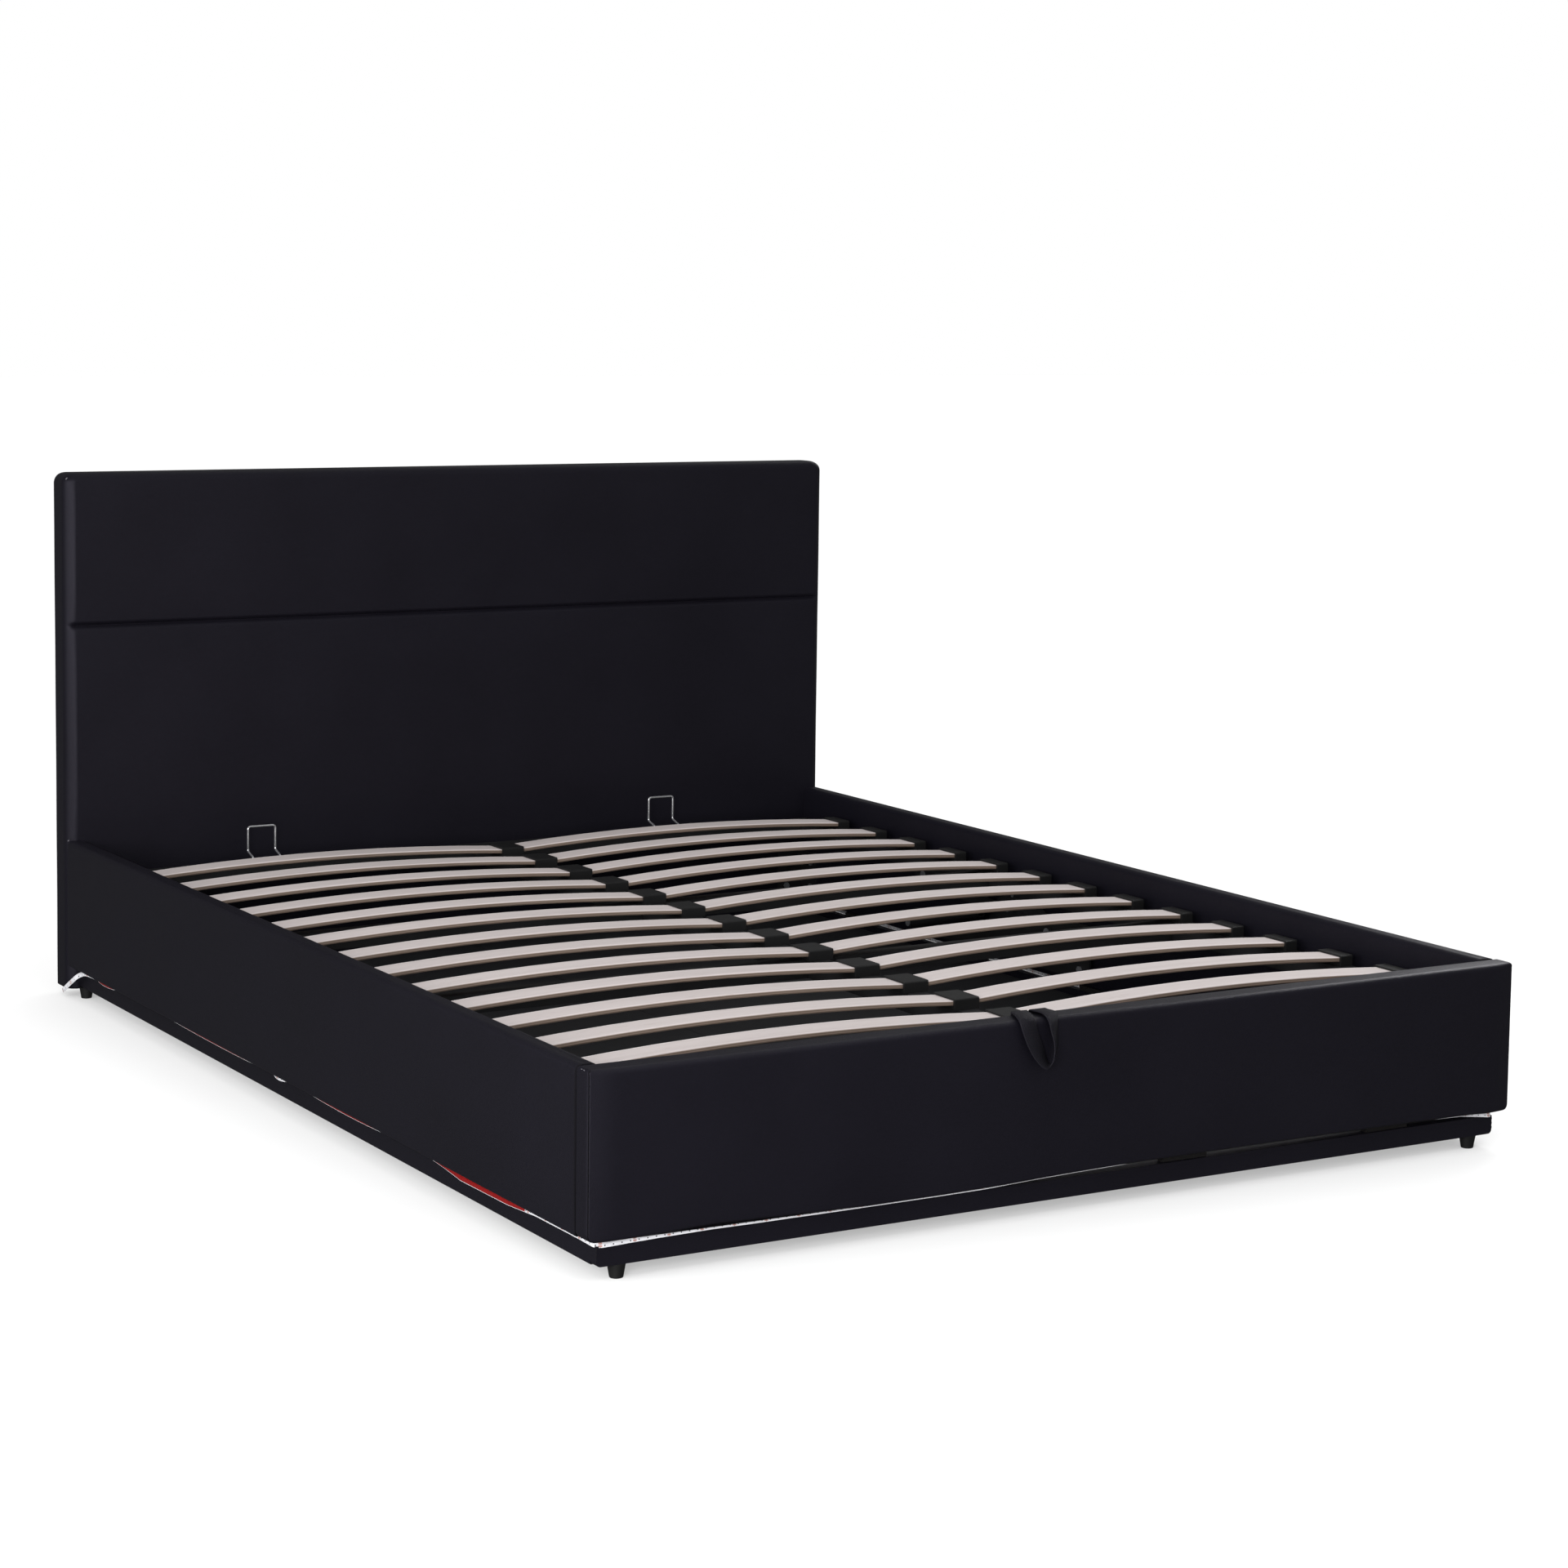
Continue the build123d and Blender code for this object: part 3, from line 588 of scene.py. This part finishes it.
def ribbon(name, centres, halves, thickness, material, body, values=None):
    """Flat band along centres, with halves reaching from its middle to its edge.

    Its section is an octagon: a h + b n, with h the half width, n the unit normal t x h, a from -1 to 1
    and b half the thickness, drawn in at the edges.
    """
    a = np.array((-1, -1, -0.95, 0.95, 1, 1, 0.95, -0.95))
    b = np.array((-0.45, 0.45, 1, 1, 0.45, -0.45, -1, -1)) * thickness / 2
    tangent = np.gradient(centres, axis=0)
    normal = np.cross(tangent, halves)
    normal /= np.linalg.norm(normal, axis=1, keepdims=True)
    points = centres[:, None] + a[None, :, None] * halves[:, None] + b[None, :, None] * normal[:, None]
    gaps = np.linalg.norm(np.diff(centres, axis=0), axis=1)
    along = np.concatenate(([0], np.cumsum(gaps)))
    count = len(centres)
    ring = len(a)
    kept = {
        "along": np.repeat(along, ring),
        "across": np.tile((a + 1) / 2, count),
        "outside": np.tile((b > 0).astype(float), count),
    }
    for key, numbers in (values or {}).items():
        kept[key] = np.repeat(numbers, ring)
    faces = grid_faces(count, ring).tolist()
    faces.append(list(range(ring))[::-1])
    faces.append(list(range((count - 1) * ring, count * ring)))
    return add_piece(name, points, faces, material, body, kept), along[-1]


def stitches(name, starts, ends, radius, material, body):
    """Row of sewn stitches: each a tube from start to end whose radius is r (1.02 - (2t - 1)^4)."""
    starts, ends = np.array(starts), np.array(ends)
    run = ends - starts
    lead = run / np.linalg.norm(run, axis=1, keepdims=True)
    helper = np.where(np.abs(lead[:, :1]) < 0.8, np.array([[1.0, 0, 0]]), np.array([[0, 1.0, 0]]))
    side = np.cross(lead, helper)
    side /= np.linalg.norm(side, axis=1, keepdims=True)
    other = np.cross(lead, side)
    t = np.linspace(0.0, 1.0, 7)
    size = radius * (1.02 - (2 * t - 1) ** 4)
    turn = np.arange(8) * math.pi / 4
    ring = np.cos(turn)[:, None] * side[:, None, None] + np.sin(turn)[:, None] * other[:, None, None]
    centre = starts[:, None, None] + t[None, :, None, None] * run[:, None, None]
    points = centre + size[None, :, None, None] * ring
    one = grid_faces(len(t), len(turn))
    shift = np.arange(len(starts))[:, None, None] * len(t) * len(turn)
    faces = (one[None] + shift).reshape(-1, 4).tolist()
    return add_piece(name, points, faces, material, body)


# Headboard: one skin over both pads, drawn in along the sewn channel
board_low = np.array(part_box("headboard_lower_pad")[0])
board_high = np.array(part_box("headboard_upper_pad")[1])
board_low[1] += headboard_crown


def headboard_swell(x, y, z, outward):
    """Crown of each pad less the channel, which both fade towards the ends, and slight unevenness.

    The channel is d (1 - a / w)^p, with a the distance from the sewn line, d its depth, w its reach and p
    its sharpness.
    """
    front = np.clip(-outward[:, 1], 0, 1)[None]
    side = np.abs(outward[:, 0])[None]
    away = np.abs(z - headboard_seam)
    channel = seam_depth * np.clip(1 - away / seam_reach, 0, 1) ** seam_sharpness
    ends = smooth_step(seam_end, seam_fade, board_high[0] - np.abs(x))
    upper = (z - headboard_seam) / (board_high[2] - headboard_seam)
    lower = (headboard_seam - z) / (headboard_seam - headboard_shown)
    rise = np.where(z > headboard_seam, upper, np.clip(lower, 0, 1))
    crown = headboard_crown * crown_share(rise)
    wobble = unevenness(3, x, z, headboard_bumps)
    end_wobble = unevenness(5, y, z, headboard_end_bumps)
    return front * (crown * ends - channel * ends + wobble) + side * end_wobble


headboard = padded_block(
    "headboard_skin", board_low, board_high,
    corners=(0.020, 0.020, 0.006, 0.006),
    top=(0.020, 0.020, 0.014, 0.006),
    bottom=(0.003, 0.003, 0.003, 0.003),
    spacing=skin_spacing, swell=headboard_swell,
    extra_rows=headboard_seam + np.linspace(-1, 1, seam_rows) * seam_reach * seam_spread,
)
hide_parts("headboard_upper_pad", "headboard_lower_pad")

# Side rails
for side_name, seed in (("left", 11), ("right", 12)):
    rail_low, rail_high = (np.array(corner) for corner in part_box(f"rail_{side_name}_cover"))
    rail_low[0] += rail_crown
    rail_high[0] -= rail_crown
    rail_low[1] += joint_gap

    def rail_swell(x, y, z, outward):
        """Crown of both long faces, slight unevenness, and a joint that opens downwards by g (1 - r)^2."""
        rise = (z - rail_low[2]) / (rail_high[2] - rail_low[2])
        crown = rail_crown * crown_share(rise)
        faces = np.abs(outward[:, 0])[None] * (crown + unevenness(seed, y, z, rail_bumps))
        return faces - np.clip(-outward[:, 1], 0, 1)[None] * joint_opening * (1 - rise) ** 2

    def rail_joint_shade(x, y):
        """Painted shade of the joint: whole at the end against the foot panel and gone within the joint's
        reach.
        """
        return 1 - smooth_step(rail_low[1] + joint_gap, rail_low[1] + joint_reach, y)

    rail = padded_block(
        f"rail_{side_name}_skin", rail_low, rail_high,
        corners=(0.002,) * 4, top=(0.009, 0.009, 0.002, 0.001),
        bottom=(0.004, 0.004, 0.001, 0.001),
        spacing=skin_spacing, swell=rail_swell, joint_shade=rail_joint_shade,
    )
    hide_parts(f"rail_{side_name}_cover")

# Foot panel
foot_low, foot_high = (np.array(corner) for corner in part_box("foot_cover"))
foot_low[1] += rail_crown + foot_draw
groove_inset = foot_corner * (1 - math.sqrt(0.5)) + foot_groove * math.sqrt(0.5)

# Stations of its lower edge: x in metres, and how far it lies above its straight place, in millimetres
foot_hems = np.array((
    (-0.77, 0), (-0.69, 1.2), (-0.61, 3.5), (-0.37, -2.8), (-0.25, -2.8), (-0.14, -1.5),
    (-0.05, 1.6), (0.07, 3.5), (0.43, 3.5), (0.71, 2.2), (0.75, 0),
)) * (1, 0.001)


def foot_swell(x, y, z, outward):
    """Front that swells away from its end seams, where its top edge is tighter, less the seams' grooves."""
    front = np.clip(-outward[:, 1], 0, 1)[None]
    groove = foot_groove * (2 * front * np.abs(outward[:, 0])[None]) ** 2
    rise = (z - foot_low[2]) / (foot_high[2] - foot_low[2])
    ends = smooth_step(-foot_draw_reach, foot_draw_reach, foot_high[0] - np.abs(x)) * 2 - 1
    crown = rail_crown * crown_share(rise)
    wide = edge_inset(z, foot_low[2], foot_high[2], foot_edge, foot_roll)
    tight = edge_inset(z, foot_low[2], foot_high[2], foot_edge, foot_edge)
    swelling = (crown + foot_draw) * ends + (wide - tight) * (1 - ends)
    return front * (swelling + unevenness(21, x, z, foot_bumps)) - groove


def foot_joint_shade(x, y):
    """Painted shade of the corner grooves: whole in the grooves at both front corners and gone just beside
    them.
    """
    across = foot_high[0] - groove_inset - np.abs(x)
    away = np.hypot(across, y - foot_low[1] - groove_inset)
    return 1 - smooth_step(groove_shade[0] * groove_inset, groove_shade[1] * groove_inset, away)


def foot_hem(x):
    """Rise of the lower edge, straight between its stations."""
    return np.interp(x, *foot_hems.T)


foot_panel = padded_block(
    "foot_panel_skin", foot_low, foot_high,
    corners=(foot_corner, foot_corner, 0.002, 0.002), top=(foot_edge, foot_edge, foot_roll, foot_edge),
    bottom=(0.011, 0.011, foot_edge, 0.003),
    spacing=skin_spacing, swell=foot_swell, joint_shade=foot_joint_shade, hem=foot_hem,
)
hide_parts("foot_cover")

# Sewn lines at the front corners of the foot panel and of its plinth, and two tacks on the headboard
plinth_low, plinth_high = (np.array(corner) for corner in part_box("plinth_foot"))


def seam(name, start, end, material):
    """Row of stitches from start to end."""
    start, end = np.array(start), np.array(end)
    length = np.linalg.norm(end - start)
    places = np.arange(0, length - stitch_length, stitch_pitch)[:, None]
    heading = (end - start) / length
    first = start + places * heading
    stitches(name, first, first + stitch_length * heading, stitch_radius, material, "bed_base")


for side_name, sign in (("left", -1), ("right", 1)):
    corner_x = sign * (foot_high[0] - groove_inset)
    corner_y = foot_low[1] + groove_inset
    seam(
        f"corner_seam_{side_name}", (corner_x, corner_y, foot_low[2] + corner_seam_gaps[0]),
        (corner_x, corner_y, foot_high[2] - corner_seam_gaps[1]), grey_thread,
    )
    top_x = sign * (foot_high[0] - top_seam_inset)
    seam(
        f"top_seam_{side_name}", (top_x, foot_high[1] - top_seam_gaps[0], foot_high[2] - top_seam_drops[0]),
        (top_x, foot_low[1] + top_seam_gaps[1], foot_high[2] - top_seam_drops[1]), pale_thread,
    )
    plinth_x = sign * (plinth_high[0] - plinth_seam_inset)
    plinth_y = plinth_low[1] - plinth_seam_inset
    seam(
        f"plinth_seam_{side_name}", (plinth_x, plinth_y, plinth_low[2] + plinth_seam_gap),
        (plinth_x, plinth_y, plinth_high[2]), grey_thread,
    )

# Tacks, measured from the front left edge of the headboard, in metres
tack_corner = np.array((-board_high[0], board_low[1], 0))
tack_starts = tack_corner + ((0.0030, 0.0036, 0.9490), (0.0022, 0.0050, 0.2890))
tack_ends = tack_corner + ((0.0062, 0.0010, 0.9530), (0.0048, 0.0020, 0.2915))
stitches("headboard_tacks", tack_starts, tack_ends, tack_radius, pale_thread, "bed_base")

# Light strip: a flexible band round the plinth, loose in places and hanging free at its back left end
strip_low, strip_high = (np.array(corner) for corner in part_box("light_strip"))
strip_x = strip_high[0] - strip_thickness / 2
strip_front = strip_low[1] + strip_thickness / 2
strip_back = strip_high[1]
run_side = strip_back - strip_front - strip_bend
run_foot = 2 * (strip_x - strip_bend)
arc = strip_bend * math.pi / 2


def strip_plan(s):
    """Plan place and outward direction at length s: straight side, bend, foot, bend, straight side."""
    turn_one = np.clip((s - run_side) / arc, 0, 1) * math.pi / 2
    turn_two = np.clip((s - run_side - arc - run_foot) / arc, 0, 1) * math.pi / 2
    heading = turn_one + turn_two
    first = np.clip(s, 0, run_side)
    second = np.clip(s - run_side - arc, 0, run_foot)
    third = np.clip(s - run_side - 2 * arc - run_foot, 0, run_side)
    x = -strip_x + strip_bend * (1 - np.cos(turn_one)) + second + strip_bend * np.sin(turn_two)
    y = strip_back - first - strip_bend * np.sin(turn_one) + strip_bend * (1 - np.cos(turn_two)) + third
    return np.stack((x, y), -1), np.stack((-np.cos(heading), -np.sin(heading)), -1)


strip_total = 2 * run_side + 2 * arc + run_foot
lengths = np.arange(strip_start, strip_total, strip_step)
plan, outward = strip_plan(lengths)

# Sagging stretches: middle and half length in metres, depth in millimetres, and 1 where the liner shows
sags = ((0.152, 0.050, 2.2, 1), (0.663, 0.225, 1.4, 1), (0.968, 0.028, 2.8, 0), (1.227, 0.155, 2.0, 1))
drop = np.zeros(len(lengths))
liner = np.zeros(len(lengths))
for start, end in liner_runs:
    liner += (lengths > start) & (lengths < end)
for middle, half, depth, lined in sags:
    inside = np.clip(1 - ((lengths - middle) / half) ** 2, 0, 1)
    drop += depth / 1000 * inside
    liner += lined * (inside > sag_lined)

# Run along the foot from its left front corner: place in metres, drop and lean in millimetres, and tilt
# in degrees
foot_place = lengths - run_side - arc
foot_run = np.array((
    (-0.53, 0, 0, 0), (-0.47, 2.2, 0, 0), (-0.41, 5.4, 0, 0), (-0.26, 4.8, 0, 0), (-0.18, 1.8, 0, 0),
    (-0.05, 1.4, 0, 0), (0.00, 2.0, 0, 0), (0.08, -1.7, 6, -30), (0.16, -2.8, 6, -30),
    (0.24, -1.8, 5, -35), (0.28, -2.1, 6.9, -50), (0.34, -1.2, 6.6, -62), (0.40, -0.8, 8.1, -80),
    (0.52, -0.8, 8.1, -80), (0.60, -1.4, 8.1, -80), (0.68, -3.8, 4.2, -70), (0.76, -6.0, 4.2, -70),
    (0.84, -7.4, 4.2, -70), (0.90, -7.0, -8, -70), (1.34, -6.5, -8, -70), (1.40, -6.5, 4.1, -80),
    (1.48, -5.4, 4.2, -70), (1.51, -1.3, -2.3, -35), (1.55, 2.6, 0, 0), (1.60, 0, 0, 0),
))
foot_drop, foot_lean, foot_tilt = (
    np.interp(foot_place, foot_run[:, 0], column) for column in foot_run.T[1:]
)
drop = drop + foot_drop / 1000
lean = np.clip(drop, 0, None) * sag_lean + foot_lean / 1000
lean = lean + strip_waver * np.sin(lengths * strip_waver_rate)
tilt = np.radians(foot_tilt)
middle_z = (strip_low[2] + strip_high[2]) / 2
centres = np.concatenate((plan + outward * lean[:, None], (middle_z - drop)[:, None]), -1)
over = strip_height / 2 * np.sin(tilt) - np.clip(drop, 0, None) * sag_turn
halves = np.concatenate((outward * over[:, None], strip_height / 2 * np.cos(tilt)[:, None]), -1)

# Free end near the headboard: place, and reach from the middle to the edge, in metres
tail = smooth_line((
    (-0.8030, 1.0345, 0.0105, 0, 0.0036, 0.0032), (-0.8030, 1.0023, 0.0273, 0, 0.0036, 0.0032),
    (-0.8022, 0.9790, 0.0395, 0, 0.0036, 0.0032), (-0.8000, 0.9680, 0.0465, 0, 0.0036, 0.0032),
    (-0.7930, 0.9640, 0.0510, 0, 0.0024, 0.0037), (-0.7850, 0.9560, 0.0530, 0, 0.0004, 0.0040),
    (*centres[0], *halves[0]),
), steps=10)[:-1]
centres = np.vstack((tail[:, :3], centres))
halves = np.vstack((tail[:, 3:], halves))
liner = np.concatenate((np.zeros(len(tail)), liner))
strip, _ = ribbon(
    "light_strip_band", centres, halves, strip_thickness, finishes["white_strip"],
    "bed_base", {"liner": np.clip(liner, 0, 1)},
)
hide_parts("light_strip")

# Pull strap: webbing from the foot tube over the panel, down to its tip and back; stations in millimetres,
# each with its place and the reach from its middle to its edge
strap_stations = np.array((
    (-94, -1012, 212, 13, 0, 0), (-94, -1013, 270, 13, 0, 0), (-95, -1016, 291.5, 13, 0, 0),
    (-101, -1030, 294, 13, -3, 0), (-110, -1053, 294, 13, -3, 0), (-113, -1065, 289, 13.5, 0, 0),
    (-109, -1068, 272, 13, 2, 2), (-101, -1069, 253, 12, 3, 4), (-93, -1070, 238, 9, 5, 6),
    (-84, -1072, 226, 5, 7, 5), (-75, -1073, 227, 4, 7, -3), (-70, -1074, 242, 6, 6, 0),
    (-69, -1073, 257, 7, 6, 0), (-71, -1071, 272, 8, 5, 0), (-70, -1066, 287, 10, 3, 0),
    (-66, -1052, 294.2, 12, 0, 0), (-65, -1030, 294, 12.5, 0, 0), (-65, -1016, 291.5, 13, 0, 0),
    (-65, -1013, 270, 13, 0, 0), (-65, -1012, 212, 13, 0, 0),
)) / 1000
strap_line = smooth_line(strap_stations, steps=8)
strap, strap_length = ribbon(
    "pull_strap_webbing", strap_line[:, :3], strap_line[:, 3:], webbing_thickness, finishes["webbing"],
    "lift_frame",
)
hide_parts("pull_strap")

# Floor, light and camera
floor_mesh = bpy.data.meshes.new("studio_floor")
floor_corners = [(x * floor_half, y * floor_half, 0) for x, y in ((-1, -1), (1, -1), (1, 1), (-1, 1))]
floor_mesh.from_pydata(floor_corners, [], [(0, 1, 2, 3)])
floor = bpy.data.objects.new("studio_floor", floor_mesh)
bpy.context.scene.collection.objects.link(floor)
floor_paint, floor_shader, floor_place = begin("pale_floor", {
    "Roughness": 0.9, "Specular IOR Level": 0.0,
    "Emission Color": (1, 1, 1, 1), "Emission Strength": floor_glow,
})
connect(floor_shader, Base_Color=floor_place.noise(0.8).mix(*floor_tones))
floor_mesh.materials.append(floor_paint)
floor.visible_glossy = False

world = bpy.data.worlds.new("studio")
world.use_nodes = True
bpy.context.scene.world = world
sky = world.node_tree
ray = sky.nodes.new("ShaderNodeLightPath")


def white(strength):
    """Plain white light of the surroundings."""
    made = sky.nodes.new("ShaderNodeBackground")
    made.inputs["Strength"].default_value = strength
    made.inputs["Color"].default_value = (1, 1, 1, 1)
    return made


def chosen(share, first, second):
    """First light where the share is 0, second where it is 1."""
    made = sky.nodes.new("ShaderNodeMixShader")
    sky.links.new(share, made.inputs[0])
    sky.links.new(first.outputs[0], made.inputs[1])
    sky.links.new(second.outputs[0], made.inputs[2])
    return made


heading = Field(sky.nodes.new("ShaderNodeTexCoord").outputs["Generated"])
nearness = heading.node(
    "ShaderNodeVectorMath", {0: heading, 1: glow_heading}, out=1, operation="DOT_PRODUCT"
)
reflected = chosen(nearness.step(*glow_reach).socket, white(glossy_sky), white(glow_strength))
around = chosen(ray.outputs["Is Glossy Ray"], white(soft_sky), reflected)
around = chosen(ray.outputs["Is Camera Ray"], around, white(backdrop))
sky.links.new(around.outputs[0], sky.nodes["World Output"].inputs["Surface"])


def softbox(name, place, target, width, depth, power):
    """Area light at a place, turned to its target."""
    light = bpy.data.lights.new(name, "AREA")
    light.shape = "RECTANGLE"
    light.size = width
    light.size_y = depth
    light.energy = power
    made = bpy.data.objects.new(name, light)
    made.location = place
    made.rotation_euler = (Vector(target) - Vector(place)).to_track_quat("-Z", "Y").to_euler()
    bpy.context.scene.collection.objects.link(made)


# Softboxes: place, target, width and depth in metres, and power in watts
softbox("overhead", (-0.6, -0.4, 3.4), (0, 0, 0), 4.5, 4.5, 16)
softbox("front_top", (0.5, -2.4, 2.5), (0.5, -2.2, 0), 3.4, 1.2, 11)
softbox("edge_light", (1.55, -0.5, 1.1), (1.05, -1.3, 0.4), 0.4, 0.4, 7)
softbox("left_window", (-4.3, -0.8, 1.3), (-0.6, 0.4, 0.4), 2.4, 2.4, 84)
softbox("front_left", (-2.4, -2.9, 0.8), (-0.6, -1.0, 0.1), 0.9, 0.9, 76)

# Camera axes from its turns
yaw, pitch, roll = (math.radians(angle) for angle in camera_turns)
forward = Vector((math.sin(yaw) * math.cos(pitch), math.cos(yaw) * math.cos(pitch), -math.sin(pitch)))
sideways = Vector((math.cos(yaw), -math.sin(yaw), 0))
upward = sideways.cross(forward)
right_axis = sideways * math.cos(roll) + upward * math.sin(roll)
up_axis = upward * math.cos(roll) - sideways * math.sin(roll)
lens = bpy.data.cameras.new("photo_camera")
lens.lens = camera_lens
lens.sensor_width = camera_sensor
lens.shift_y = camera_shift
lens.clip_end = camera_sight
camera = bpy.data.objects.new("photo_camera", lens)
turn = Matrix((right_axis, up_axis, -forward)).transposed().to_4x4()
camera.matrix_world = Matrix.Translation(camera_place) @ turn
bpy.context.scene.collection.objects.link(camera)
bpy.context.scene.camera = camera
bpy.context.scene.view_settings.view_transform = "Standard"
